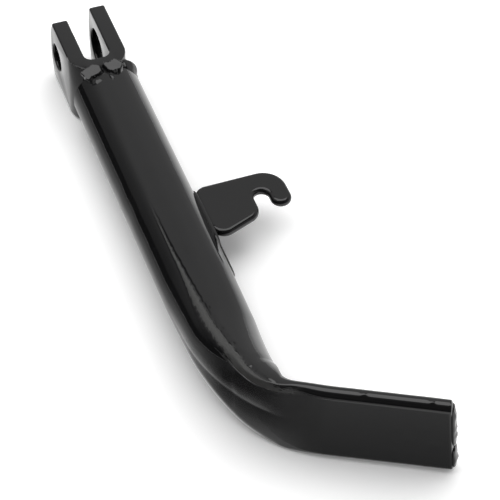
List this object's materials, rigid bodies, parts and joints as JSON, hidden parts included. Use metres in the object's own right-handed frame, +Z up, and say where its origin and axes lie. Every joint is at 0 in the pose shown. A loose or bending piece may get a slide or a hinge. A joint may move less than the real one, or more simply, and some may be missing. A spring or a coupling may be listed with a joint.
{
  "type": "motorcycle side stand leg",
  "caption": "Welded steel side stand leg: forked yoke with pivot holes, round tube bent and pressed into a flat foot, and a notched spring hook plate.",
  "frame": {"origin": "centre of the bounding box in X and Y, on the surface that the stand lies on", "axes": "the stand lies on its side: +Y along the leg from foot to pivot, X along the pivot axis with the foot bent towards +X, +Z up"},
  "size_m": [0.0714, 0.221, 0.0337],
  "materials": {
    "gloss_black_paint": "thick gloss black paint over mild steel, with slight orange peel and small runs",
    "painted_weld": "the same gloss black paint, pooled over uneven weld beads"
  },
  "bodies": {
    "root": {"leg_tube": "gloss_black_paint", "yoke": "gloss_black_paint", "spring_hook_plate": "gloss_black_paint", "yoke_weld_top": "painted_weld", "yoke_weld_bottom": "painted_weld", "yoke_weld_left": "painted_weld", "yoke_weld_right": "painted_weld", "hook_weld_upper": "painted_weld", "hook_weld_lower": "painted_weld", "foot_end_weld_upper": "painted_weld", "foot_end_weld_lower": "painted_weld"}
  },
  "joints": []
}
